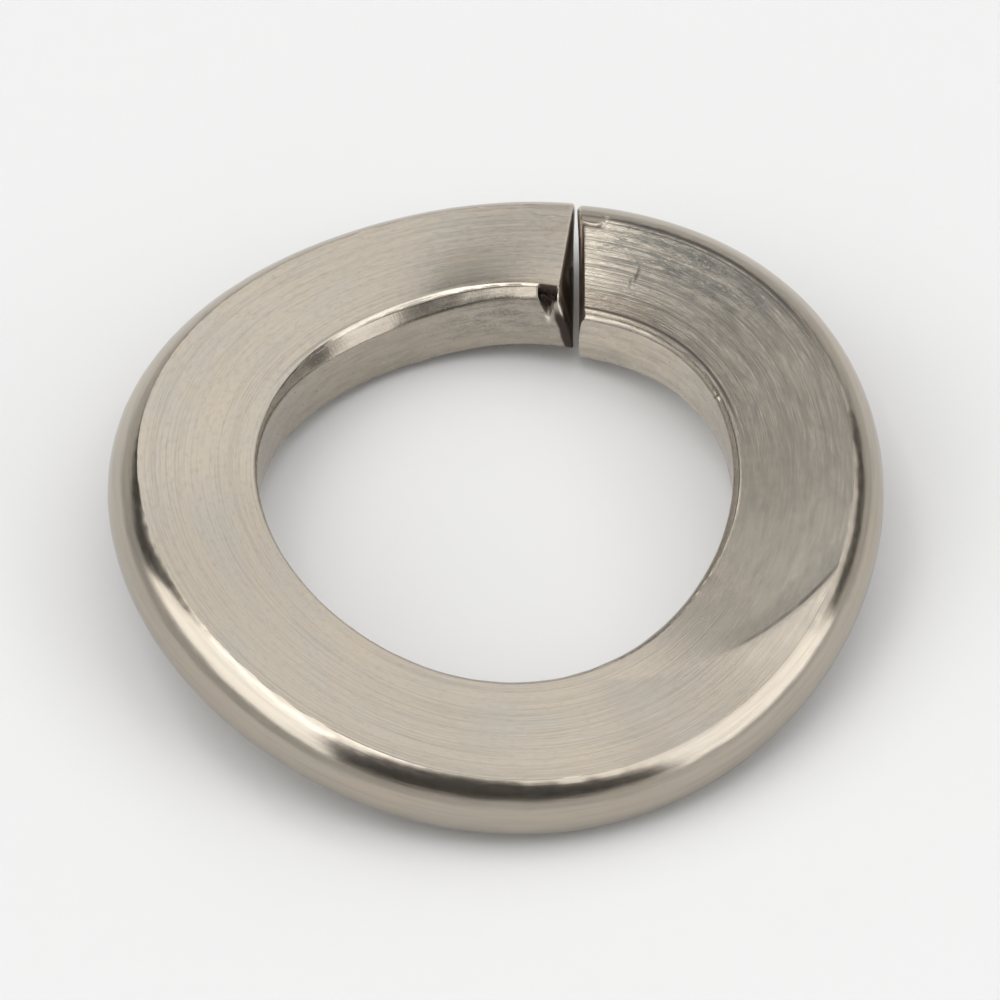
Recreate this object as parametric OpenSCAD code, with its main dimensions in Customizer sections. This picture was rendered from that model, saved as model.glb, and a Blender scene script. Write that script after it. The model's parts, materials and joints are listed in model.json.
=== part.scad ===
// Saddle spring washer: one rolled bar with flat faces and rounded sides, bent round a bolt with its
// ends left open, and pressed so that the ring rises and falls twice on the way round.
// Millimetres, +Z up. The origin is on the bore's axis, on the surface that the washer lies on.

/* [Bar] */
// Width of the bar, from the bore to the outer edge
bar_w = 5; // [4.2:0.1:6]
// Thickness of the bar
bar_t = 2.8; // [2.3:0.1:3.2]
// How far the bar's rounded outer side stands out past its flat faces
outer_bulge = 0.9; // [0.6:0.05:1.1]
// How far the flat faces stop short of the bore
bore_edge = 0.3; // [0.2:0.05:0.4]

/* [Ring] */
// Diameter of the bore
bore_d = 16.2; // [13.5:0.1:19.5]
// Slope of the top face down towards the bore, all the way round, in degrees
dish = 1.6; // [0:0.1:3]

/* [Saddle] */
// How far the middle of the bar rises from its low points to its ridge
arch_h = 1.75; // [1.2:0.05:2.2]
// Direction of the ridge, anticlockwise from +X, in degrees
ridge_angle = 20; // [0:1:40]

/* [Gap] */
// Direction of the gap, anticlockwise from +X, in degrees
gap_angle = 77.5; // [70:0.5:90]
// Width of the gap at the outer edge
gap_w = 0.28; // [0.15:0.01:0.6]
// Angle between the gap's middle line and the radius, in degrees
gap_slant = 11; // [0:1:14]
// Angle between the two end faces, which open towards the bore, in degrees
gap_flare = 6; // [0:0.5:10]

/* [Hidden] */
$fn = 64;

// The bar is a chain of arcs, each of constant bend. They run both ways from the side opposite the gap.
arcs_each_way = 12;
// How far each half runs on past the gap's direction, to leave stock for the slanted end cut
end_stock_angle = 5;
// Every other arc is this much slimmer and longer, so that it ends inside its neighbours
lap_slim = 0.004;
lap_angle = 0.3;
// Stock on the rounded inner side of the bar, which the bore takes off
bore_stock = 0.2;
// How far the pieces that make up the bar's section lie over each other
section_lap = 0.3;

outer_r = bore_d / 2 + bar_w;
middle_r = bore_d / 2 + bar_w / 2;
half_w = bar_w / 2;
half_t = bar_t / 2;
far_side = gap_angle + 180;
arc_angle = (180 + end_stock_angle) / arcs_each_way;
cutter = 2 * outer_r;

// Radius of a rounded side that stands out by a given amount past the flat faces
function side_r(out) = (out ^ 2 + half_t ^ 2) / (2 * out);
outer_side_r = side_r(outer_bulge);
inner_side_r = side_r(bore_edge + bore_stock);

// Height of the bar's middle above its mean level, at plan angle a
function rise(a) = arch_h / 2 * cos(2 * (a - ridge_angle));
// Its gradient and its change of gradient along the ring, as ratios
function slope(a) = -arch_h / middle_r * sin(2 * (a - ridge_angle));
function slope_change(a) = -2 * arch_h / middle_r * cos(2 * (a - ridge_angle));
// The bar isn't twisted as it is bent, which tilts its top face outwards at the low points
function tilt(a) = dish + rise(a) / middle_r * 180 / PI;
// Length along the bar for each unit of length in plan
function stretch(a) = sqrt(1 + slope(a) ^ 2);
// Bend of the bar, as a multiple of the bend of a flat ring
function tightness(a) = sqrt(1 + (slope_change(a) / stretch(a)) ^ 2) / stretch(a) ^ 2;

// The lowest point is where the lower face meets the outer side, a quarter turn from the ridge
low = ridge_angle + 90;
rest_h = -rise(low) - (half_w - outer_bulge) * sin(tilt(low)) + half_t * cos(tilt(low));

// The half of a disc of radius r that faces way, 1 or -1, and a little past its bar's middle
module half_disc(centre, r, way) {
    intersection() {
        translate([centre, 0]) circle(r);
        translate([way > 0 ? -section_lap : section_lap - bar_w, -bar_t])
            square([bar_w, 2 * bar_t]);
    }
}

// The bar's cross-section: x outwards and y up from its middle. Two rounds joined by a block, all
// taller than the bar, are cut to its thickness.
module bar_section(slim = 0) {
    block_from = bore_edge + section_lap - half_w;
    block_to = half_w - outer_bulge - section_lap;
    intersection() {
        union() {
            half_disc(inner_side_r - bore_stock - half_w, inner_side_r - slim, -1);
            half_disc(half_w - outer_side_r, outer_side_r - slim, 1);
            translate([block_from, -bar_t]) square([block_to - block_from, 2 * bar_t]);
        }
        translate([-bar_w, -half_t + slim]) square([2 * bar_w, bar_t - 2 * slim]);
    }
}

// The bar from arc i on, from where the last arc ended: x outwards, z up. way is 1 or -1.
// Each arc turns about an axis in the plane of the bar's section, so the arcs meet smoothly.
module bar_from(i, way) {
    if (i < arcs_each_way) {
        a = far_side + way * (i + 0.5) * arc_angle;
        lean = atan(slope_change(a) / stretch(a)) + tilt(a);
        bend_r = middle_r / tightness(a);
        turn = tightness(a) * stretch(a) * arc_angle;
        slimmed = i % 2 == (way > 0 ? 1 : 0);
        lap = slimmed ? lap_angle : 0;
        rotate([0, lean, 0]) translate([-bend_r, 0, 0]) {
            rotate(way > 0 ? -lap : -turn - lap)
                rotate_extrude(angle = turn + 2 * lap)
                    translate([bend_r, 0]) rotate(lean) bar_section(slimmed ? lap_slim : 0);
            rotate(way * turn) translate([bend_r, 0, 0]) rotate([0, -lean, 0])
                bar_from(i + 1, way);
        }
    }
}

// One half of the ring, trimmed to its own face of the gap
module half_ring(way) {
    difference() {
        rotate(far_side) translate([middle_r, 0, rise(far_side)])
            rotate([atan(slope(far_side)), 0, 0]) rotate([0, -tilt(far_side), 0])
                bar_from(0, way);
        rotate(gap_angle) translate([outer_r, -way * gap_w / 2, 0])
            rotate(gap_slant + way * gap_flare / 2)
                translate([0, way * cutter / 2, 0]) cube(cutter, center = true);
    }
}

module washer() {
    color("#b8b0a4") translate([0, 0, rest_h]) difference() {
        union() {
            half_ring(1);
            half_ring(-1);
        }
        cylinder(d = bore_d, h = cutter, center = true);
    }
}

washer();
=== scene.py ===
"""Saddle spring washer: the pressed bar with its turned faces and cut ends, on a pale studio floor.

Sizes along the bar and across its section are in millimetres, and are turned into metres where the
mesh is made.
"""

import json
import math

import bpy
import numpy as np
from bpy.props import FloatProperty, FloatVectorProperty, PointerProperty
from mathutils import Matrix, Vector


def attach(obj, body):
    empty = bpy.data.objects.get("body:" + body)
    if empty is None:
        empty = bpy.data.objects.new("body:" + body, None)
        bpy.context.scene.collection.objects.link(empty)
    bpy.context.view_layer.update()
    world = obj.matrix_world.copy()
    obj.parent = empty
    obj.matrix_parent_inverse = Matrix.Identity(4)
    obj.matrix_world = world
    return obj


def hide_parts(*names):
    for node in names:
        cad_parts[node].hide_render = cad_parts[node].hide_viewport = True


bl_info = {
    "name": "Saddle Spring Washer",
    "version": (1, 0, 0),
    "blender": (4, 5, 0),
    "location": "View3D > Sidebar > Washer",
    "description": "Makes a saddle spring washer and a small studio to look at it in",
    "category": "Add Mesh",
}

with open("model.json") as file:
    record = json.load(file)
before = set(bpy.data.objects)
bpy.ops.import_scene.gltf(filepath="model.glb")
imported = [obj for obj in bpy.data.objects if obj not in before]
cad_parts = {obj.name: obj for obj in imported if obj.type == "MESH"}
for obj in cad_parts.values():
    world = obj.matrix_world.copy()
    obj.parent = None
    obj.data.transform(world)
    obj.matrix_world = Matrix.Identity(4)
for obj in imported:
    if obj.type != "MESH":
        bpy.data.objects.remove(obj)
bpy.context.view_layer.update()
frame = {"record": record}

MM = 0.001
STEEL = tuple(frame["record"]["materials"][0]["base_color"])
WARM_GREY = (0.67, 0.60, 0.49)
CLEAN_STEEL = tuple((a + b) / 2 for a, b in zip(STEEL, WARM_GREY))

# How finely the bar is cut up, along its length and round its section
STATIONS = 770
UNDER_POINTS = 6
EDGE_POINTS = 4
OUTER_POINTS = 20
TOP_POINTS = 22
TOP_RIM_POINTS = 20
BORE_POINTS = 20
BORE_WALL_POINTS = 10
END_RINGS = 5

# Where the finish's pattern lies on the cut ends, clear of its place along the bar, in millimetres
CUT_PATTERN = 100

# Left and right bearing, low and high edge in degrees, and brightness
SIDE_LAMPS = (
    ("left_lamp", -149, -73, 24, 72, 1.78),
    ("right_lamp", 94, 136, 16, 58, 1.70),
    ("upper_right_lamp", 44, 95, 41, 59, 1.12),
    ("low_back_lamp", -14, 42, 28, 43, 0.84),
    ("back_lamp", -14, 42, 43, 57, 0.69),
    ("upper_back_lamp", -16, 38, 57, 77, 0.74),
    ("strip_lamp", -49, -28, 40, 69, 1.85),
)
# Bearing, height, width and depth in degrees, and brightness
OVERHEAD_LAMPS = (
    ("high_lamp", 104, 75, 38, 30, 1.6),
    ("high_left_lamp", -104, 78, 46, 22, 1.85),
)

# The scratch on the top face: where it starts and ends across the bar, in millimetres
SCRATCH = (1.72, 2.46)
# Where the patch that was never flattened starts, in degrees
PATCH_START = 71.5


# ---------------------------------------------------------------------------------------------
# The bar's course round the bolt
# ---------------------------------------------------------------------------------------------

def right_end_pull(sizes, angle):
    """How much the bar near its right end still follows that end, from 1 at the end to 0."""
    return np.exp(-(((sizes.right_end - angle) / sizes.end_reach) ** 2))


def left_end_pull(sizes, angle):
    """The same for the left end, which lies a full turn further on."""
    return np.exp(-(((angle - sizes.left_end + 2 * math.pi) / sizes.end_reach) ** 2))


def rise(sizes, angle):
    """Height of the bar's middle above its mean level, in millimetres."""
    saddle = sizes.arch_height / 2 / MM * np.cos(2 * (angle - sizes.ridge))
    return (saddle + sizes.right_lift / MM * right_end_pull(sizes, angle)
            + sizes.left_lift / MM * left_end_pull(sizes, angle))


def lean(sizes, angle):
    """Slope of the top face down towards the bore, in radians."""
    return (sizes.dish + sizes.sway * np.cos(2 * (angle - sizes.sway_ridge))
            + sizes.right_twist * right_end_pull(sizes, angle)
            + sizes.left_twist * left_end_pull(sizes, angle))


def bar_place(sizes, angle, out, up):
    """Where a point of the section is, given outwards and up from the bar's middle."""
    slope = lean(sizes, angle)
    middle = (sizes.bore + sizes.bar_width) / 2 / MM
    radius = middle + out * np.cos(slope) - up * np.sin(slope)
    # The bore is worn to a cylinder, with a soft border to the bar's rounded side. It is drawn with a
    # radius that is this much under the stated one.
    under, soft = 0.1, 0.035
    bore = sizes.bore / 2 / MM - under
    radius = bore + soft * np.logaddexp(0, (radius - bore) / soft)
    height = rise(sizes, angle) + out * np.sin(slope) + up * np.cos(slope)
    return radius * np.cos(angle), radius * np.sin(angle), height


# ---------------------------------------------------------------------------------------------
# The bar's section
# ---------------------------------------------------------------------------------------------

def eased(count, crowd):
    """Steps from 0 up to but not at 1, closer together towards both ends."""
    t = np.arange(count) / count
    return t - crowd * np.sin(2 * math.pi * t) / (2 * math.pi)


def round_side(centre, radius, start, end, count):
    """A round stretch: its points and the way out of the metal at each."""
    turn = start + eased(count, 0) * (end - start)
    ways = np.stack([np.cos(turn), np.sin(turn)], -1)
    return np.array(centre) + radius * ways, ways


def flat_side(start, end, way, count, crowd=0.7):
    """A flat stretch: its points and the way out of the metal."""
    t = eased(count, crowd)[:, None]
    return np.array(start) * (1 - t) + np.array(end) * t, np.tile(np.array(way, float), (count, 1))


def cut_round(radius, centre_up, half_t, edge):
    """Where a small rounded edge joins a flat face to a round side.

    Returns the edge's angle, and its reach outwards from the side's centre."""
    reach = math.sqrt((radius - edge) ** 2 - (half_t - edge - centre_up) ** 2)
    return math.atan2(half_t - edge - centre_up, reach), reach


def bulge_radius(bulge, half_t):
    """Radius of a side that stands out past the flat faces by bulge at mid height."""
    return (bulge ** 2 + half_t ** 2) / (2 * bulge)


def bar_section(sizes):
    """The section's outline from its inner lower edge outwards and round: points, ways out, faces."""
    half_w = sizes.bar_width / 2 / MM
    half_t = sizes.bar_thickness / 2 / MM
    edge = sizes.face_edge / MM
    outer_r = bulge_radius(sizes.outer_bulge / MM, half_t)
    outer_half, outer_reach = cut_round(outer_r, 0, half_t, edge)
    outer_x = half_w - outer_r
    outer_edge = outer_x + outer_reach
    inner_r = sizes.bore_round / MM
    inner_up = half_t - inner_r * math.sin(sizes.bore_round_angle)
    inner_half, inner_reach = cut_round(inner_r, inner_up, half_t, edge)
    inner_edge = sizes.bore_face_edge / MM - half_w
    inner_x = inner_edge + inner_reach
    rim_width = 0.7
    top_rim = outer_edge - rim_width
    flat, full = math.pi / 2, math.pi
    sides = (
        ("under", flat_side((inner_edge, -half_t), (outer_edge, -half_t), (0, -1), UNDER_POINTS)),
        ("edge", round_side((outer_edge, edge - half_t), edge, -flat, -outer_half, EDGE_POINTS)),
        ("band", round_side((outer_x, 0), outer_r, -outer_half, outer_half, OUTER_POINTS)),
        ("edge", round_side((outer_edge, half_t - edge), edge, outer_half, flat, EDGE_POINTS)),
        ("top", flat_side((outer_edge, half_t), (top_rim, half_t), (0, 1), TOP_RIM_POINTS, 0)),
        ("top", flat_side((top_rim, half_t), (inner_edge, half_t), (0, 1), TOP_POINTS)),
        ("edge", round_side((inner_edge, half_t - edge), edge, flat, full - inner_half, EDGE_POINTS)),
        ("bore", round_side((inner_x, inner_up), inner_r, full - inner_half, full, BORE_POINTS)),
        ("bore", flat_side((inner_x - inner_r, inner_up), (inner_x - inner_r, -inner_up), (-1, 0),
                           BORE_WALL_POINTS, 0)),
        ("bore", round_side((inner_x, -inner_up), inner_r, full, full + inner_half, BORE_POINTS // 2)),
        ("edge", round_side((inner_edge, edge - half_t), edge, full + inner_half, full + flat, EDGE_POINTS)),
    )
    points = np.concatenate([side[0] for _, side in sides])
    ways = np.concatenate([side[1] for _, side in sides])
    faces = np.concatenate([[name] * len(side[0]) for name, side in sides])
    return points, ways, faces


def rest_height(sizes):
    """How high the ring's mean level lies when the bar rests on its low points, in millimetres."""
    points, _ways, _faces = bar_section(sizes)
    angle = np.linspace(sizes.left_end - 2 * math.pi, sizes.right_end, 721)[:, None]
    return -bar_place(sizes, angle, points[:, 0], points[:, 1])[2].min()


# ---------------------------------------------------------------------------------------------
# Marks of the tools on the bar
#
# bump, step and between take places and widths: in degrees where they follow the plan angle, and in
# millimetres elsewhere. wander takes a period in millimetres and a seed. Heights are in millimetres.
# ---------------------------------------------------------------------------------------------

def bump(x, centre, width):
    """A smooth hump of height 1."""
    return np.exp(-(((x - centre) / width) ** 2))


def step(x, edge, width):
    """A smooth rise from 0 below the edge to 1 above it."""
    return 0.5 + 0.5 * np.tanh((x - edge) / width)


def wander(x, period, seed):
    """A smooth random line between about -1 and 1 that changes over one period."""
    rng = np.random.RandomState(seed)
    total = np.zeros_like(x)
    for k in range(5):
        stretch = period * rng.uniform(0.6, 1.9)
        total += np.sin(2 * math.pi * (x / stretch + rng.uniform())) * rng.uniform(0.5, 1)
    return total / 2.4


def between(x, low, high, width):
    """A smooth hump of height 1 that is level between low and high."""
    return step(x, low, width) - step(x, high, width)


class Skin:
    """Where each point of the bar's surface lies, along the bar and round its section.

    Lengths are in millimetres. along and from_left run along the bar. degrees is the plan angle from
    +X, from 77 at the right end down to -280 at the left end. across runs outwards from the bore."""

    def __init__(self, sizes, along, from_left, degrees, section):
        points, ways, faces = section
        self.half_t = sizes.bar_thickness / 2 / MM
        self.width = sizes.bar_width / MM
        self.face_edge = sizes.bore_face_edge / MM
        self.along, self.from_left, self.degrees = along, from_left, degrees
        self.across = (points[:, 0] + self.width / 2)[None, :]
        self.up = points[:, 1][None, :]
        self.faces = faces[None, :]
        upper_edge = (self.faces == "edge") & (self.up > 0)
        self.outer_edge = upper_edge & (self.across > self.width / 2)
        self.inner_edge = upper_edge & (self.across < self.width / 2)
        # How far each point would have to move out to lie on the round of the outer side
        outer_r = bulge_radius(sizes.outer_bulge / MM, self.half_t)
        from_centre = points - np.array([self.width / 2 - outer_r, 0])
        lift = (from_centre * ways).sum(1)
        reach = np.maximum(lift ** 2 - (from_centre ** 2).sum(1) + outer_r ** 2, 0)
        self.to_round = np.maximum(np.sqrt(reach) - lift, 0)[None, :]


def rolled_waves(skin):
    """Waves of the rolled and pressed surface."""
    along, across, up = skin.along, skin.across, skin.up
    drawn = 0.010 * wander(along, 9, 3) + 0.003 * wander(along + 2 * up, 1.7, 5)
    high = np.where(skin.faces == "band", drawn, 0)
    high += np.where(skin.faces == "top", 0.004 * wander(along + 2 * across, 14, 7), 0)
    blotches = 0.0012 * wander(along + 0.5 * across, 2.2, 33) * wander(across - 0.1 * along, 1.6, 34)
    high += np.where(skin.faces == "top", between(skin.degrees, -85, 5, 12) * blotches, 0)
    high += np.where(skin.faces == "bore", 0.008 * wander(along + 1.5 * up, 5, 9)
                     + 0.004 * wander(along - up, 1.1, 8), 0)
    return high


def ragged_edges(skin):
    """The flat face's edges: worn in places, with a lip of metal in others."""
    along, degrees = skin.along, skin.degrees
    front_lip = 1.2 * between(degrees, -116, -84, 2) + 0.5 * between(degrees, -60, 60, 20)
    high = np.where(skin.outer_edge, 0.007 * wander(along, 0.8, 13) + 0.012 * front_lip, 0)
    lip = 0.035 * between(degrees, -279, -238, 6) * (1 + 0.25 * wander(along, 0.7, 29))
    ragged = 0.004 * wander(along, 0.6, 19) + 0.003 * wander(along, 0.21, 23)
    high += np.where(skin.inner_edge, lip + ragged, 0)
    return high


def crease_side(skin):
    """How far outside the crease on the front right a point lies, in millimetres.

    The press left the crease, which slants across the top face."""
    return skin.across - (4.09 + 0.077 * (skin.degrees + 19.5))


def pressed_facet(skin):
    """Outside that crease the top face has a shallow slope."""
    outside, soft = crease_side(skin), 0.06
    slope = 0.031 * soft * np.logaddexp(0, outside / soft)
    groove = 0.005 * bump(outside, 0, 0.09)
    where = between(skin.degrees, -64, -14, 5)
    return np.where(skin.faces == "top", -(slope + groove) * where, 0)


def patch_share(skin):
    """1 on the patch by the right end where the outer side was never flattened, 0 elsewhere."""
    degrees, across = skin.degrees, skin.across
    border = 3.62 + 0.12 * bump(degrees, 76.5, 1.4) + 0.55 * step(-degrees, -71.4, 0.45)
    return step(across, border, 0.012) * step(degrees, 70.6, 0.2) * (skin.up > 0)


def unflattened_patch(skin):
    """The patch keeps the bar's round, and a fold of metal marks its far corner."""
    high = np.where((skin.faces == "top") | skin.outer_edge, patch_share(skin) * skin.to_round, 0)
    fold = 0.014 * bump(skin.degrees + 2 * skin.across, 78.4, 0.35) * bump(skin.across, 3.82, 0.17)
    return high + np.where(skin.faces == "top", fold, 0)


def scratch_line(across):
    """The bowed course of the scratch: its plan angle in degrees at a place across the bar."""
    return 61.35 + 0.55 * ((across - 2.08) / 0.35) ** 2


def nicks(skin):
    """A scratch on the top face, and teeth and a nick on the inner edge by the right end."""
    along, degrees, across = skin.along, skin.degrees, skin.across
    scratch = -0.022 * bump(degrees, scratch_line(across), 0.28) * between(across, *SCRATCH, 0.05)
    high = np.where(skin.faces == "top", scratch, 0)
    inner_side = (skin.faces == "bore") | skin.inner_edge
    teeth = 0.030 * between(degrees, 23.5, 31, 1.0) * np.minimum(wander(along, 0.30, 41), 0)
    slant = degrees - 22.0 - 2.2 * (skin.half_t - skin.up)
    nick = 0.085 * bump(slant, 0, 0.35) - 0.07 * bump(slant, 0.9, 0.4)
    return high + np.where(inner_side & (skin.up > 0.5), teeth + nick * step(skin.up, 0.75, 0.12), 0)


def hollow_share(skin):
    """1 inside the hollow at the left end's inner top corner, 0 outside."""
    down = skin.half_t - skin.up
    x = skin.from_left - 0.22 * down
    depth = 1.15 - 2.1 * np.abs(x - 0.5) + 0.05 * wander(x + down, 0.3, 51)
    return between(x, 0.06, 0.90, 0.03) * step(depth - down, 0.05, 0.04) * (skin.across < 2)


def rim_highlight_share(skin):
    """1 on the metal turned out at the hollow's right side and its tip, where a highlight is painted; 0
    elsewhere.
    """
    x, down = skin.from_left, skin.half_t - skin.up
    side = bump(x, 0.03, 0.07) * between(down, 0.02, 1.0, 0.08)
    tip = bump(x - 0.22 * down, 0.5, 0.10) * bump(down, 1.24, 0.17)
    return np.maximum(side, tip) * (skin.across < 2) * (skin.faces != "top")


def broken_corner(skin):
    """The hollow where the left end's inner top corner broke off when it was cut."""
    x, down = skin.from_left, skin.half_t - skin.up
    inner_side = (skin.faces == "bore") | skin.inner_edge
    pit = -(0.34 + 0.06 * wander(x * 2 + down, 0.5, 53)) * hollow_share(skin)
    rim = 0.12 * bump(x, 0.02, 0.07) * between(down, 0.05, 0.9, 0.08)
    tip = 0.18 * bump(x - 0.22 * down, 0.5, 0.09) * bump(down, 1.22, 0.16)
    return np.where(inner_side & (skin.up > -0.9), pit + rim + tip, 0)


def marks(skin):
    """How far the tools left the surface above the plain section, in millimetres."""
    return (rolled_waves(skin) + pressed_facet(skin) + ragged_edges(skin) + unflattened_patch(skin)
            + nicks(skin) + broken_corner(skin))


def wear_corner(skin, out, up):
    """Draws the section's inner top corner in to a soft bevel, deepest at the back of the ring."""
    degrees = skin.degrees
    depth = (0.17 * between(degrees, -262, -219, 9) + 0.06 * between(degrees, -300, -262, 9)
             + 0.14 * between(degrees, 50, 90, 9) + 0.06 * between(degrees, -20, 52, 8))
    slope = np.radians(48 + 9 * between(degrees, 42, 90, 9))
    inwards, upwards = np.cos(slope), np.sin(slope)
    soft, least_depth = 0.02, 0.004
    corner = (skin.width / 2 - skin.face_edge) * inwards + skin.half_t * upwards
    past = soft * np.logaddexp(0, (-out * inwards + up * upwards - corner + depth) / soft)
    past *= depth > least_depth
    return out + past * inwards, up - past * upwards


def stains(skin):
    """Where the steel is turned, blued, browned, dull or lined dark, and where shade and highlights are
    painted on it: each a share from 0 to 1.

    across and crease aren't shares but distances, which the finish draws thin lines from."""
    degrees, across, up, left = skin.degrees, skin.across, skin.up, skin.from_left
    top = (skin.faces == "top") * (1 - patch_share(skin))
    band, inner = skin.faces == "band", skin.faces == "bore"
    crease = crease_side(skin)
    scratch = bump(degrees, scratch_line(across), 0.3) * between(across, *SCRATCH, 0.05)
    # Painted shadow under the patch's step
    patch_step_shade = bump(across, 3.61, 0.045) * between(degrees, PATCH_START, 90, 0.4)
    blue_bore = between(left, 0.4, 5.2, 0.7) * between(up, -0.6, 1.2, 0.25)
    inner_brown = between(degrees, 50, 74, 4) * step(-across, -1.25, 0.3)
    front_brown = between(degrees, -50, 30, 14) * step(-across, -2.4, 0.8)
    # Painted shade inside the crease
    shade_inside_crease = between(degrees, -44, -12, 9) * step(-crease, -0.05, 0.12)
    dull_outside = between(degrees, -66, -14, 6) * step(crease, 0.1, 0.1)
    dark_end = between(left, -1, 0.42 + 0.08 * wander(up, 0.9, 61), 0.04) * step(-up, -0.55, 0.1)
    return {
        "turned": top * (0.2 + 0.8 * between(degrees, 12, 95, 14)),
        "blued": top * between(degrees, 36, 72, 5) * step(across, 2.3, 0.4) + inner * 0.7 * blue_bore,
        "browned": top * (0.9 * inner_brown + 0.25 * front_brown),
        # Painted shadow under the patch's step, and darker along the scratch
        "step_shade_and_scratch": top * (1.1 * patch_step_shade + 0.9 * scratch),
        # Where thin darker lines run along the top face's edges
        "outer_edge_lines": top * (step(degrees, 28, 7) - step(degrees, PATCH_START, 0.7)),
        "inner_edge_lines": top * (0.95 * between(degrees, 14, 90, 6) + 0.35 * between(degrees, -268, -215, 9)),
        "across": across,
        "crease": crease,
        "creased": top * between(degrees, -41, -14, 3),
        # Painted light: the top face by the right end is lightened towards cream.
        "pale": top * between(degrees, 66, 95, 4),
        # Painted shade on the right part of the top face, inside the crease and on the band's lower half;
        # the top face outside the crease is a little darker too.
        "dull_and_shade": top * (between(degrees, -12, 58, 9) + shade_inside_crease + 0.4 * dull_outside)
        + 0.45 * band * step(-up, 0.0, 0.45),
        # Less of the darker side colour: on the bore by the right end, and on the band's top as a painted
        # highlight.
        "bared_and_highlight": inner * between(degrees, 22, 95, 10) + 0.35 * band * step(up, 0.9, 0.2),
        # Painted highlight on the rim and tip of the hollow
        "rim_highlight": rim_highlight_share(skin),
        # Painted shade in the hollow, and darker low on the bore at the left end
        "broken": hollow_share(skin) * ((skin.faces != "top") | (across < 0.3)) + inner * dark_end,
    }


def end_rounding(distance, radius):
    """How far a worn edge draws the section in, at a distance from the cut."""
    left = np.clip(radius - distance, 0, radius)
    return radius - np.sqrt(np.maximum(radius ** 2 - left ** 2, 0))


# ---------------------------------------------------------------------------------------------
# The bar's mesh
# ---------------------------------------------------------------------------------------------

def cut_angle(sizes, place, heading, guess, points, aside):
    """The plan angle at which each line along the bar meets a cut.

    place is a point on the cut and heading its direction. aside moves it to the right, in millimetres."""
    normal = np.array([math.sin(heading), -math.cos(heading)])
    search, halvings = 0.25, 40
    low = np.full(len(points), guess - search)
    high = np.full(len(points), guess + search)
    for _ in range(halvings):
        middle = (low + high) / 2
        x, y, _z = bar_place(sizes, middle, points[:, 0], points[:, 1])
        past = (x - place[0] - aside) * normal[0] + (y - place[1]) * normal[1] > 0
        low = np.where(past, middle, low)
        high = np.where(past, high, middle)
    return (low + high) / 2


def cut_asides(sizes, points):
    """How the right cut's outer top corner overhangs the gap, and how both cuts lean and swell."""
    half_w, half_t = sizes.bar_width / 2 / MM, sizes.bar_thickness / 2 / MM
    across, up = points[:, 0] + half_w, points[:, 1]
    overhang = sizes.right_overhang / MM * step(across, 3.72, 0.05) * step(up, 0.2, 0.3)
    low = (half_t - up) / (2 * half_t)
    inner = np.clip(1 - across / (2 * half_w), 0, 1)
    swell = 0.11 * np.sin(math.pi * low) * step(-across, -3.2, 0.6)
    return -overhang - swell - sizes.right_lean / MM * low, sizes.left_lean / MM * low * inner


def station_steps():
    """Places along the bar from 0 to 1, closer together at the cut ends."""
    crowd, reach, samples = 0.72, 0.07, 4001
    t = np.linspace(0, 1, samples)
    weight = 1 / (1 - crowd * (np.exp(-((t / reach) ** 2)) + np.exp(-(((1 - t) / reach) ** 2))))
    run = np.concatenate([[0], np.cumsum((weight[1:] + weight[:-1]) / 2)])
    return np.interp(np.linspace(0, run[-1], STATIONS), run, t)


def bar_skin(sizes, section):
    """The bar's surface in millimetres, a ring of points at each station, and where each point lies."""
    points, ways, _faces = section
    right_place = (sizes.right_cut[0] / MM, sizes.right_cut[1] / MM)
    left_place = (sizes.left_cut[0] / MM, sizes.left_cut[1] / MM)
    right_aside, left_aside = cut_asides(sizes, points)
    right = cut_angle(sizes, right_place, sizes.right_heading, sizes.right_end, points, right_aside)
    left = cut_angle(sizes, left_place, sizes.left_heading, sizes.left_end, points, left_aside)
    left -= 2 * math.pi
    # The stations near each end turn step by step to lie along its cut
    right_mid, left_mid = right.mean(), left.mean()
    base = right_mid + (left_mid - right_mid) * station_steps()
    skew = math.radians(24)
    near_right = np.exp(-(((right_mid - base) / skew) ** 2))[:, None]
    near_left = np.exp(-(((base - left_mid) / skew) ** 2))[:, None]
    angle = base[:, None] + near_right * (right - right_mid) + near_left * (left - left_mid)

    middle = (sizes.bore + sizes.bar_width) / 2 / MM
    from_right = (right[None, :] - angle) * middle
    from_left = (angle - left[None, :]) * middle
    skin = Skin(sizes, (right_mid - angle) * middle, from_left, np.degrees(angle), section)
    corner = sizes.end_edge / MM * (1 + 1.4 * step(skin.across, 4.4, 0.15))
    high = marks(skin) - end_rounding(from_right, 1.5 * corner) - end_rounding(from_left, corner)
    out = np.broadcast_to(points[:, 0], angle.shape)
    up = np.broadcast_to(points[:, 1], angle.shape)
    out, up = wear_corner(skin, out, up)
    x, y, z = bar_place(sizes, angle, out + high * ways[:, 0], up + high * ways[:, 1])
    z += rest_height(sizes)
    return np.stack([x, y, z], -1), skin


def end_cap(ring, previous, start, last):
    """Closes one end with smaller and smaller rings: the new points, the strips' faces and a fan.

    previous holds the numbers of the end ring's points, and start is the first new point's number.
    The faces of the last end are turned over, so that all of them face outwards."""
    count = len(ring)
    centre = ring.mean(0)
    vertices = []
    strips = []
    for n in range(1, END_RINGS + 1):
        vertices.append(centre + (ring - centre) * (1 - n / (END_RINGS + 1)))
        here = start + np.arange(count)
        strips.append(np.stack([previous, here, np.roll(here, -1), np.roll(previous, -1)], -1))
        previous = here
        start += count
    vertices.append(centre[None])
    fan = np.stack([previous, np.full(count, start), np.roll(previous, -1)], -1)
    way = -1 if last else 1
    return np.concatenate(vertices), np.concatenate(strips)[:, ::way], fan[:, ::way]


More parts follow.
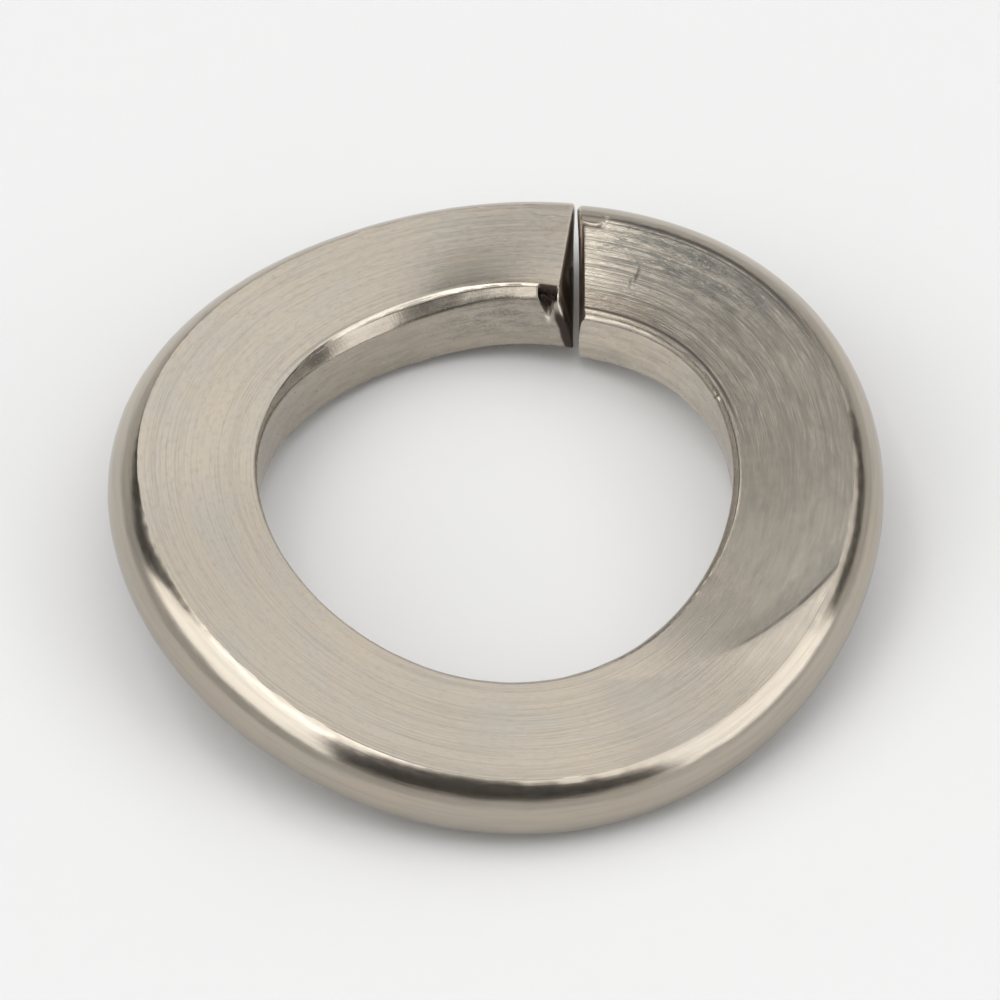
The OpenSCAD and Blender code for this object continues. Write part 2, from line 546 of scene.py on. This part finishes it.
def lay_pattern(mesh, bar_uv, side_corners, round_length):
    """Gives the mesh the flat map that the finish's pattern is drawn on, in millimetres."""
    loops = np.zeros(len(mesh.loops), np.int32)
    mesh.loops.foreach_get("vertex_index", loops)
    loop_uv = bar_uv[loops]
    # The last strip of each ring runs on past the seam instead of back to the start
    quad_uv = loop_uv[:side_corners].reshape(-1, 4, 2)
    wraps = (quad_uv[:, :, 1].max(1) - quad_uv[:, :, 1].min(1)) > round_length / 2
    low_side = wraps[:, None] & (quad_uv[:, :, 1] < round_length / 2)
    quad_uv[:, :, 1] += np.where(low_side, round_length, 0)
    layer = mesh.uv_layers.new(name="bar")
    layer.data.foreach_set("uv", loop_uv.astype(np.float32).ravel())


def bar_mesh(sizes):
    """The whole bar as one closed mesh, with its zones as attributes."""
    section = bar_section(sizes)
    points, _ways, faces = section
    rings, skin = bar_skin(sizes, section)
    stations, count = skin.along.shape

    # The skin between stations, then a cap on each end
    i = np.arange(stations - 1)[:, None]
    j = np.arange(count)[None, :]
    k = (j + 1) % count
    sides = np.stack([i * count + j, i * count + k, (i + 1) * count + k, (i + 1) * count + j], -1)
    sides = sides.reshape(-1, 4)
    vertices = [rings.reshape(-1, 3)]
    strips = []
    fans = []
    start = stations * count
    for ring_index, last in ((0, False), (stations - 1, True)):
        previous = ring_index * count + np.arange(count)
        made, strip, fan = end_cap(rings[ring_index], previous, start, last)
        vertices.append(made)
        strips.append(strip)
        fans.append(fan)
        start += len(made)
    polygons = [tuple(face) for group in (sides, *strips, *fans) for face in group]
    mesh = bpy.data.meshes.new("washer_bar")
    mesh.from_pydata((np.concatenate(vertices) * MM).tolist(), [], polygons)
    mesh.polygons.foreach_set("use_smooth", [True] * len(polygons))

    perimeter = np.concatenate([[0], np.cumsum(np.linalg.norm(np.diff(points, axis=0), axis=1))])
    round_length = perimeter[-1] + np.linalg.norm(points[0] - points[-1])
    side_uv = np.stack([skin.along, np.broadcast_to(perimeter, skin.along.shape)], -1).reshape(-1, 2)
    cap_uv = np.concatenate([np.tile(points, (END_RINGS, 1)), [[0, 0]]]) + [CUT_PATTERN, 0]
    bar_uv = np.concatenate([side_uv, cap_uv, cap_uv])
    lay_pattern(mesh, bar_uv, sides.size, round_length)

    zones = {name: faces == name for name in ("band", "bore")}
    zones["top"] = (faces == "top") * (1 - patch_share(skin))
    zones["cut"] = np.zeros(1)
    zones.update(stains(skin))
    for name, share in zones.items():
        on_bar = np.broadcast_to(share, skin.along.shape).astype(np.float32).ravel()
        on_cuts = np.full(2 * len(cap_uv), name == "cut", np.float32)
        value = np.concatenate([on_bar, on_cuts])
        mesh.attributes.new(name, "FLOAT", "POINT").data.foreach_set("value", value)
    mesh.validate()
    return mesh


# ---------------------------------------------------------------------------------------------
# Finishes
# ---------------------------------------------------------------------------------------------

class Finish:
    """Adds shader nodes to one material. Inputs are given as values or as other nodes' outputs."""

    def __init__(self, name):
        self.material = bpy.data.materials.new(name)
        self.material.use_nodes = True
        self.tree = self.material.node_tree
        self.tree.nodes.clear()

    def feed(self, socket, value):
        """Sets an input, or links it if the value is another node's output."""
        if isinstance(value, bpy.types.NodeSocket):
            self.tree.links.new(value, socket)
        else:
            socket.default_value = value

    def add(self, kind, settings=None, **inputs):
        """A node with these settings. Inputs go by name, with _ for each space."""
        node = self.tree.nodes.new("ShaderNode" + kind)
        for key, value in (settings or {}).items():
            setattr(node, key, value)
        for key, value in inputs.items():
            self.feed(node.inputs[key.replace("_", " ")], value)
        return node

    def math(self, operation, a, b=0.0, clamp=False):
        """The result of one sum."""
        node = self.add("Math", {"operation": operation, "use_clamp": clamp})
        self.feed(node.inputs[0], a)
        self.feed(node.inputs[1], b)
        return node.outputs[0]

    def plus(self, a, b):
        """a and b added."""
        return self.math("ADD", a, b)

    def minus(self, a, b):
        """b taken from a."""
        return self.math("SUBTRACT", a, b)

    def times(self, a, b):
        """a and b multiplied."""
        return self.math("MULTIPLY", a, b)

    def most(self, a, b, clamp=False):
        """The larger of a and b."""
        return self.math("MAXIMUM", a, b, clamp)

    def noise(self, place, scale, detail=3.0, rough=0.5, shift=0.0):
        """Noise over the bar. scale is its blotches in a millimetre, along the bar and round it."""
        start = (shift, shift / 3, shift)
        at = self.add("Mapping", Vector=place, Scale=(*scale, 1), Location=start).outputs[0]
        return self.add("TexNoise", Vector=at, Scale=1.0, Detail=detail, Roughness=rough).outputs[0]

    def ramp(self, value, low, high, to_low=0.0, to_high=1.0):
        """A straight run from to_low, where value is low, to to_high, where it is high."""
        node = self.add("MapRange", Value=value, From_Min=low, From_Max=high, To_Min=to_low, To_Max=to_high)
        return node.outputs[0]

    def tint(self, share, under, over):
        """The colour under, with a share of the plain colour over on it."""
        node = self.add("Mix", {"data_type": "RGBA"})
        self.feed(node.inputs[0], share)
        self.feed(node.inputs[6], under)
        self.feed(node.inputs[7], (*over, 1))
        return node.outputs[2]

    def line(self, value, at, width, share):
        """A thin soft line where value passes at."""
        off = self.math("ABSOLUTE", self.minus(value, at))
        return self.times(self.ramp(off, 0.3 * width, width, 1.0, 0.0), share)

    def zones(self, *names):
        """The shares and distances that the mesh holds under these names."""
        return [self.add("Attribute", {"attribute_name": name}).outputs["Fac"] for name in names]

    def surface(self, shader):
        """The finished material."""
        out = self.add("OutputMaterial")
        self.tree.links.new(shader.outputs[0], out.inputs[0])
        return self.material


def spring_steel(look):
    """Satin steel: turned lines on the top face, a smooth drawn band round the edge, dull cut ends, and
    painted shade and highlights in places.
    """
    f = Finish("spring_steel")
    place = f.add("UVMap", {"uv_map": "bar"}).outputs[0]
    top, band, bore, cut = f.zones("top", "band", "bore", "cut")
    turned, blued, browned = f.zones("turned", "blued", "browned")
    dull_and_shade, bared_and_highlight, pale = f.zones("dull_and_shade", "bared_and_highlight", "pale")
    crease, creased, across = f.zones("crease", "creased", "across")
    step_shade_and_scratch, outer_edge_lines, inner_edge_lines = f.zones("step_shade_and_scratch", "outer_edge_lines", "inner_edge_lines")
    broken, rim_highlight = f.zones("broken", "rim_highlight")

    # The first pair gives the blotches in a millimetre along the bar and round it. The last number
    # moves each noise to a part of its own.
    fine = f.noise(place, (0.2, 21), 3, 0.65)
    broad = f.noise(place, (0.05, 4.6), 4, 0.65, 11)
    grain = f.noise(place, (3.0, 6.0), 5, 0.65, 5)
    cloud = f.noise(place, (0.35, 0.7), 3, 0.5, 17)
    mottle = f.noise(place, (0.7, 2.6), 5, 0.65, 23)
    drawn = f.noise(place, (0.25, 5), 3, 0.6, 41)
    feather = f.noise(place, (9, 2.2), 3, 0.6, 47)
    speckle = f.noise(place, (4.5, 16), 3, 0.6, 53)
    sides = f.plus(band, bore)

    # Relief: the turned lines, the grain, the drawn sides and the rough blue-grey stain
    lines = f.plus(f.times(fine, 0.8), f.times(broad, 0.6))
    height = f.plus(f.times(lines, turned), f.times(grain, 0.10))
    height = f.plus(height, f.times(f.times(drawn, 0.22), sides))
    height = f.plus(height, f.times(f.times(feather, 0.20), bore))
    height = f.plus(height, f.times(f.times(speckle, 0.35), blued))
    relief = f.add("Bump", Strength=1.0, Distance=look.line_depth, Height=height)

    # Clean steel, from warm to pale, and the rounded sides darker: partly their duller drawn finish, partly
    # painted shade
    colour = f.tint(f.ramp(cloud, 0.35, 0.7), (*look.steel, 1), look.warm_steel)
    # Painted light on the top face by the right end
    colour = f.tint(f.times(pale, 0.85), colour, look.pale_and_lit_steel)
    outside = f.times(creased, f.ramp(crease, 0.0, 0.5, 0.0, 0.9))
    colour = f.tint(f.times(outside, f.ramp(cloud, 0.45, 0.62)), colour, look.pale_and_lit_steel)
    # Less darkening where the bore is bare by the right end, and on the band's top as a painted highlight
    drawn_and_shaded_side = f.minus(f.minus(1.0, top), f.times(bared_and_highlight, 0.75))
    colour = f.tint(f.times(drawn_and_shaded_side, 0.68), colour, look.drawn_and_shaded_steel)

    # Dull grain, patches and lines, and painted shade on the right part of the top face, inside the crease
    # and on the band's lower half
    colour = f.tint(f.times(top, f.ramp(grain, 0.5, 0.75, 0.0, 0.22)), colour, look.dull_and_shade_steel)
    colour = f.tint(f.times(dull_and_shade, f.ramp(mottle, 0.35, 0.65, 0.62, 0.92)), colour, look.dull_and_shade_steel)
    colour = f.tint(f.times(bore, f.ramp(mottle, 0.45, 0.7, 0.0, 0.45)), colour, look.dull_and_shade_steel)
    colour = f.tint(f.times(sides, f.ramp(drawn, 0.45, 0.8, 0.0, 0.5)), colour, look.dull_and_shade_steel)
    colour = f.tint(f.times(f.ramp(lines, 0.68, 0.80, 0.0, 0.95), turned), colour, look.dull_and_shade_steel)

    # Blue-grey and brown stains, with bright flecks in the blue-grey, and painted shade on the inner side of
    # the crease
    blue_share = f.times(f.ramp(mottle, 0.42, 0.58, 0.2, 1.0), f.ramp(speckle, 0.42, 0.54, 0.15, 1.0))
    colour = f.tint(f.times(blued, blue_share), colour, look.blued_steel)
    brown_share = f.times(f.ramp(mottle, 0.42, 0.60, 1.0, 0.35), f.ramp(speckle, 0.44, 0.56, 1.0, 0.5))
    colour = f.tint(f.times(browned, brown_share), colour, look.browned_steel)
    colour = f.tint(f.times(blued, f.ramp(speckle, 0.60, 0.68, 0.0, 0.7)), colour, look.pale_and_lit_steel)
    # Painted shade on the inner side of the crease
    inside = f.times(f.ramp(crease, -0.9, -0.1, 0.0, 0.5), f.ramp(crease, -0.04, 0.04, 1.0, 0.0))
    colour = f.tint(f.times(creased, inside), colour, look.shaded_steel)

    # Thin dark lines: painted shade along the crease and under the patch's step, and darker lines along the
    # scratch and both edges of the top face
    crease_shade_line = f.times(f.line(crease, -0.06, 0.11, creased), f.ramp(mottle, 0.38, 0.58, 0.8, 0.25))
    line_share = f.most(step_shade_and_scratch, crease_shade_line)
    line_share = f.most(line_share, f.line(across, 4.02, 0.10, outer_edge_lines))
    line_share = f.most(line_share, f.times(f.line(across, 3.84, 0.045, outer_edge_lines), 0.6))
    line_share = f.most(line_share, f.line(across, 0.41, 0.08, inner_edge_lines), clamp=True)
    line_share = f.times(line_share, f.ramp(grain, 0.3, 0.65, 1.0, 0.85))
    colour = f.tint(line_share, colour, look.dark_lines)

    # The cut ends, painted shade in the hollow where the corner broke off and darker low on the bore at the
    # left end, and a painted highlight on the hollow's rim
    colour = f.tint(f.times(cut, f.ramp(grain, 0.3, 0.7, 1.0, 0.7)), colour, look.cut_steel)
    # Painted shade in the hollow
    colour = f.tint(broken, colour, look.hollow_shade_steel)
    # Painted highlight on the rim round the hollow
    colour = f.tint(rim_highlight, colour, look.rim_highlight_steel)

    rough = f.plus(f.ramp(grain, 0.3, 0.7, 0.16, 0.22), f.times(bore, 0.07))
    rough = f.plus(rough, f.times(f.most(cut, broken), 0.3))
    rough = f.plus(rough, f.times(top, f.ramp(mottle, 0.3, 0.7, 0.0, 0.06)))
    rough = f.plus(rough, f.times(line_share, 0.35))
    metal = f.minus(1.0, f.times(line_share, 0.8))
    tangent = f.add("Tangent", {"direction_type": "UV_MAP", "uv_map": "bar"})
    shader = f.add("BsdfPrincipled", Base_Color=colour, Metallic=metal, Roughness=rough, Anisotropic=0.6,
                   Anisotropic_Rotation=0.25, Tangent=tangent.outputs[0], Normal=relief.outputs[0])
    return f.surface(shader)


def plain_paper(look):
    """The pale floor."""
    f = Finish("plain_paper")
    shader = f.add("BsdfPrincipled", Base_Color=(*look.floor, 1), Roughness=0.9, Specular_IOR_Level=0.1)
    return f.surface(shader)


# ---------------------------------------------------------------------------------------------
# Sizes and colours
# ---------------------------------------------------------------------------------------------

def length(name, description, mm):
    """A length that the user can set."""
    return FloatProperty(name=name, description=description, default=mm * MM, unit="LENGTH")


def turn(name, description, degrees):
    """An angle that the user can set."""
    default = math.radians(degrees)
    return FloatProperty(name=name, description=description, default=default, unit="ROTATION")


def paint(name, description, default):
    """A colour that the user can set."""
    return FloatVectorProperty(name=name, description=description, default=default, size=3,
                               subtype="COLOR", min=0, max=1)


class BarSizes(bpy.types.PropertyGroup):
    """The bar and the shape it is pressed into."""

    bar_width: length("Bar width", "From the bore to the outer edge", 5)
    bar_thickness: length("Bar thickness", "Height of the bar's section", 2.8)
    outer_bulge: length("Outer bulge", "How far the rounded outer side stands out past the flat faces", 0.9)
    bore_round: length("Bore round", "Radius of the bar's round between its flat faces and the bore", 0.70)
    bore_face_edge: length("Bore face edge", "From the bore to the inner edge of the flat faces", 0.14)
    bore_round_angle: turn("Bore round angle", "How steep that round is where a flat face cuts it off", 55)
    face_edge: length("Face edges", "Radius of the sharp edges of the flat faces", 0.04)
    end_edge: length("End edges", "Radius of the worn edges round the cut ends", 0.05)
    bore: length("Bore", "Diameter of the bore", 16.2)
    arch_height: length("Arch height", "Height of the ridges above the low points", 1.74)
    ridge: turn("Ridge", "Direction of the ridge, anticlockwise from +X", 19.88)
    dish: turn("Dish", "Slope of the top face down towards the bore, all round", 1.57)
    sway: turn("Sway", "How much the slope of the top face grows at the ridges", 5.44)
    sway_ridge: turn("Sway direction", "Where the top face slopes most", 28.08)
    right_end: turn("Right end", "Direction of the right end", 77.2)
    left_end: turn("Left end", "Direction of the left end", 79.8)
    end_reach: turn("End reach", "How far from an end the bar still follows it", 28.21)
    right_lift: length("Right lift", "How far the right end is sprung up", -0.07)
    left_lift: length("Left lift", "How far the left end is sprung up", 0.202)
    right_twist: turn("Right twist", "Extra slope of the right end", 6.57)
    left_twist: turn("Left twist", "Extra slope of the left end", -6.41)
    right_heading: turn("Right cut heading", "Direction of the right cut, from the bore outwards", 90)
    left_heading: turn("Left cut heading", "Direction of the left cut, from the bore outwards", 82.4)
    right_overhang: length("Right overhang", "How far its outer top corner overhangs the gap", 0.14)
    right_lean: length("Right lean", "How far the right cut runs out to the left at the bottom", 0.13)
    left_lean: length("Left lean", "How far that cut's inner side runs out to the right at the bottom", 0.66)
    right_cut: FloatVectorProperty(name="Right cut", description="A point on the right cut", size=2,
                                   default=(2.99 * MM, 10 * MM), subtype="XYZ_LENGTH")
    left_cut: FloatVectorProperty(name="Left cut", description="A point on the left cut", size=2,
                                  default=(2.41 * MM, 10.3 * MM), subtype="XYZ_LENGTH")


class SteelLook(bpy.types.PropertyGroup):
    """Colours and finish of the steel."""

    steel: paint("Steel", "Colour of most of the bar", CLEAN_STEEL)
    # Also the colour of the painted light on the right end's top face.
    pale_and_lit_steel: paint("Pale steel", "Colour of the brightest cream patches", (0.84, 0.755, 0.63))
    warm_steel: paint("Warm steel", "Colour of the warmer patches", (0.71, 0.625, 0.51))
    # Painted shade: the rounded sides are darkened with this colour, besides being duller for their drawn
    # finish.
    drawn_and_shaded_steel: paint("Drawn and shaded steel", "Colour of the rounded sides", (0.35, 0.308, 0.255))
    # Also the colour of the painted shade on the top face and the band.
    dull_and_shade_steel: paint("Dull and shaded steel", "Colour of the dull grain and the darkest lines", (0.268, 0.246, 0.212))
    blued_steel: paint("Blued steel", "Colour of the blue-grey stains", (0.172, 0.177, 0.166))
    # Painted shade along the crease.
    shaded_steel: paint("Shaded steel", "Colour of the dark stain along the crease", (0.175, 0.17, 0.145))
    browned_steel: paint("Browned steel", "Colour of the brown stains", (0.33, 0.27, 0.205))
    # Also the colour of the painted shade along the crease and under the patch's step.
    dark_lines: paint("Dark lines", "Colour of the thin dark lines along the flat faces' edges", (0.05, 0.038, 0.03))
    cut_steel: paint("Cut steel", "Colour of the cut ends", (0.30, 0.235, 0.185))
    # Painted highlight on the rim round the hollow.
    rim_highlight_steel: paint("Rim highlight", "Colour of the metal round the broken corner", (0.92, 0.87, 0.79))
    # Painted shade in the hollow, and the colour low on the bore at the left end.
    hollow_shade_steel: paint("Hollow shade", "Colour inside the broken corner", (0.066, 0.050, 0.042))
    line_depth: FloatProperty(name="Line depth", description="Depth of the turned lines", default=1.8e-5,
                              unit="LENGTH", precision=6)


class StudioLook(bpy.types.PropertyGroup):
    """Floor, lamps and camera."""

    floor: paint("Floor", "Colour of the floor", (0.86, 0.86, 0.86))
    room: paint("Room", "Colour of the room beyond the lamps", (0.062, 0.060, 0.058))
    floor_radius: length("Floor radius", "From the middle to the wall of the paper sweep", 900)
    wall_height: length("Wall height", "Height of the paper sweep's wall", 340)
    view_height: turn("View height", "Angle of the camera above the floor", 51.93)
    view_distance: length("View distance", "From the camera to the middle of the ring", 589.6)
    view_aside: length("View aside", "How far the camera stands to the right of the middle", 0.1526)
    view_above: length("View above", "How far the camera stands above the line to the middle", 0.0999)
    lens: FloatProperty(name="Lens", description="Focal length in millimetres", default=628.1)


# ---------------------------------------------------------------------------------------------
# Operators
# ---------------------------------------------------------------------------------------------

def link(name, data):
    """A new object of the scene that holds this data."""
    made = bpy.data.objects.new(name, data)
    bpy.context.scene.collection.objects.link(made)
    return made


def panel_lamp(name, middle, facing, width, tall, brightness):
    """A flat lamp that shines against facing. brightness is how bright it looks, whatever its size."""
    data = bpy.data.lights.new(name, "AREA")
    data.shape = "RECTANGLE"
    data.size = width
    data.size_y = tall
    data.energy = brightness * math.pi * width * tall
    lamp = link(name, data)
    lamp.location = middle
    lamp.rotation_euler = facing.to_track_quat("Z", "Y").to_euler()
    lamp.visible_camera = False
    return lamp


def side_lamp(name, left, right, low, high, brightness, away=0.6):
    """An upright lamp that stands between two bearings and two heights, in degrees as the washer sees it.

    A bearing runs clockwise from the far side, and a height up from the floor."""
    bearing = math.radians((left + right) / 2)
    bottom, top = (away * math.tan(math.radians(a)) for a in (low, high))
    facing = Vector((math.sin(bearing), math.cos(bearing), 0))
    width = 2 * away * math.tan(math.radians((right - left) / 2))
    middle = facing * away + Vector((0, 0, (bottom + top) / 2))
    return panel_lamp(name, middle, facing, width, top - bottom, brightness)


def overhead_lamp(name, bearing, height, width, tall, brightness, away=0.9):
    """A lamp high above that faces the washer. width and tall are in degrees as the washer sees it."""
    a, e = math.radians(bearing), math.radians(height)
    facing = Vector((math.sin(a) * math.cos(e), math.cos(a) * math.cos(e), math.sin(e)))
    sides = (2 * away * math.tan(math.radians(angle / 2)) for angle in (width, tall))
    return panel_lamp(name, facing * away, facing, *sides, brightness)


def paper_sweep(look):
    """A round floor whose rim curves up into a low wall."""
    bend, middle, turns, steps = 0.12, 0.05, 96, 10
    profile = [(middle, 0), (look.floor_radius - bend, 0)]
    for n in range(1, steps + 1):
        a = math.pi / 2 * n / steps
        profile.append((look.floor_radius - bend + bend * math.sin(a), bend - bend * math.cos(a)))
    profile.append((look.floor_radius, look.wall_height))
    vertices = [(r * math.cos(2 * math.pi * k / turns), r * math.sin(2 * math.pi * k / turns), z)
                for r, z in profile for k in range(turns)]
    faces = []
    for i in range(0, (len(profile) - 1) * turns, turns):
        for k in range(turns):
            after = (k + 1) % turns
            faces.append((i + turns + k, i + turns + after, i + after, i + k))
    faces.append(tuple(range(turns)))
    mesh = bpy.data.meshes.new("floor")
    mesh.from_pydata(vertices, [], faces)
    mesh.polygons.foreach_set("use_smooth", [True] * len(faces))
    return mesh


class WASHER_OT_bar(bpy.types.Operator):
    """Make the pressed bar"""

    bl_idname = "washer.bar"
    bl_label = "Make the bar"

    def execute(self, context):
        scene = context.scene
        bar = link("washer_bar", bar_mesh(scene.washer_sizes))
        bar.data.materials.append(spring_steel(scene.washer_steel))
        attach(bar, "root")
        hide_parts("washer")
        return {"FINISHED"}


class WASHER_OT_studio(bpy.types.Operator):
    """Make the floor, the lamps and the camera"""

    bl_idname = "washer.studio"
    bl_label = "Make the studio"

    def execute(self, context):
        look = context.scene.washer_studio
        floor = link("floor", paper_sweep(look))
        floor.data.materials.append(plain_paper(look))

        for lamp in SIDE_LAMPS:
            side_lamp(*lamp)
        for lamp in OVERHEAD_LAMPS:
            overhead_lamp(*lamp)

        world = bpy.data.worlds.new("room")
        context.scene.world = world
        world.use_nodes = True
        world.node_tree.nodes["Background"].inputs["Color"].default_value = (*look.room, 1)

        e = look.view_height
        back = Vector((0, -math.cos(e), math.sin(e)))
        above = Vector((0, math.sin(e), math.cos(e)))
        data = bpy.data.cameras.new("camera")
        data.lens = look.lens
        camera = link("camera", data)
        middle = Vector((0, 0, rest_height(context.scene.washer_sizes) * MM))
        camera.location = (middle + back * look.view_distance + Vector((look.view_aside, 0, 0))
                           + above * look.view_above)
        camera.rotation_euler = back.to_track_quat("Z", "Y").to_euler()
        context.scene.camera = camera
        context.scene.view_settings.view_transform = "Standard"
        return {"FINISHED"}


class WASHER_PT_panel(bpy.types.Panel):
    """Lists the washer's operators"""

    bl_idname = "WASHER_PT_panel"
    bl_label = "Saddle spring washer"
    bl_space_type = "VIEW_3D"
    bl_region_type = "UI"
    bl_category = "Washer"

    def draw(self, context):
        self.layout.operator(WASHER_OT_bar.bl_idname)
        self.layout.operator(WASHER_OT_studio.bl_idname)


CLASSES = (BarSizes, SteelLook, StudioLook, WASHER_OT_bar, WASHER_OT_studio, WASHER_PT_panel)


def register():
    for item in CLASSES:
        bpy.utils.register_class(item)
    bpy.types.Scene.washer_sizes = PointerProperty(type=BarSizes)
    bpy.types.Scene.washer_steel = PointerProperty(type=SteelLook)
    bpy.types.Scene.washer_studio = PointerProperty(type=StudioLook)


def unregister():
    del bpy.types.Scene.washer_sizes
    del bpy.types.Scene.washer_steel
    del bpy.types.Scene.washer_studio
    for item in reversed(CLASSES):
        bpy.utils.unregister_class(item)


def main():
    register()
    bpy.ops.washer.studio()
    bpy.ops.washer.bar()


if __name__ == "__main__":
    main()
